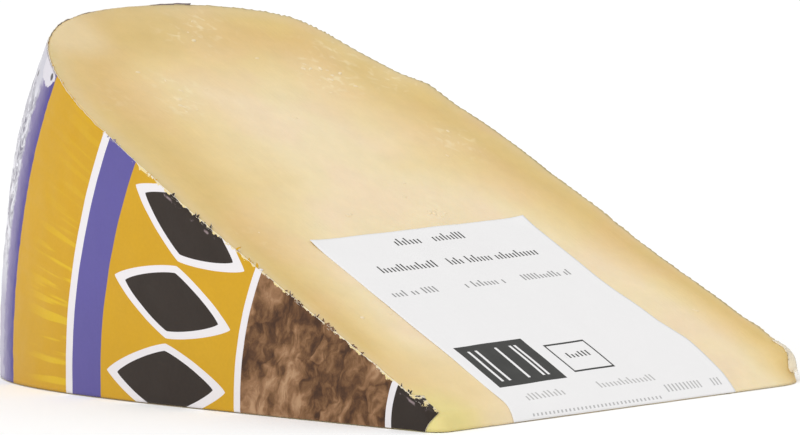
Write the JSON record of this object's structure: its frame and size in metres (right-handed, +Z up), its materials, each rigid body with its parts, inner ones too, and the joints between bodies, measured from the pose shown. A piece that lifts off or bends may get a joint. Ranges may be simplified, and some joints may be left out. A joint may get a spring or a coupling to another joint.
{
  "type": "aged sheep cheese wedge",
  "caption": "Wedge of aged sheep cheese lying on a cut face, with a printed label on the wheel's round side, a white sticker over the tip and a fold of clear film.",
  "frame": {"origin": "on the flat cut face that the wedge lies on, about half way from tip to rim and midway between the label side and the plain side", "axes": "+Z up; +X from the rim towards the tip; +Y from the label side towards the plain side, along the wheel's axis"},
  "size_m": [0.1465, 0.0986, 0.0694],
  "materials": {
    "cheese": "smooth waxy cut, cream in the middle and golden tan under a thin rind",
    "label_paper": "semi-gloss printed paper, golden ground with violet, brown, dark and white fields",
    "sticker_paper": "matt white thermal paper with thin grey rules",
    "clear_film": "clear glossy wrapping film"
  },
  "bodies": {
    "root": {"cheese": "cheese", "face_label": "label_paper", "scale_sticker": "sticker_paper", "film_pleat": "clear_film"}
  },
  "joints": []
}
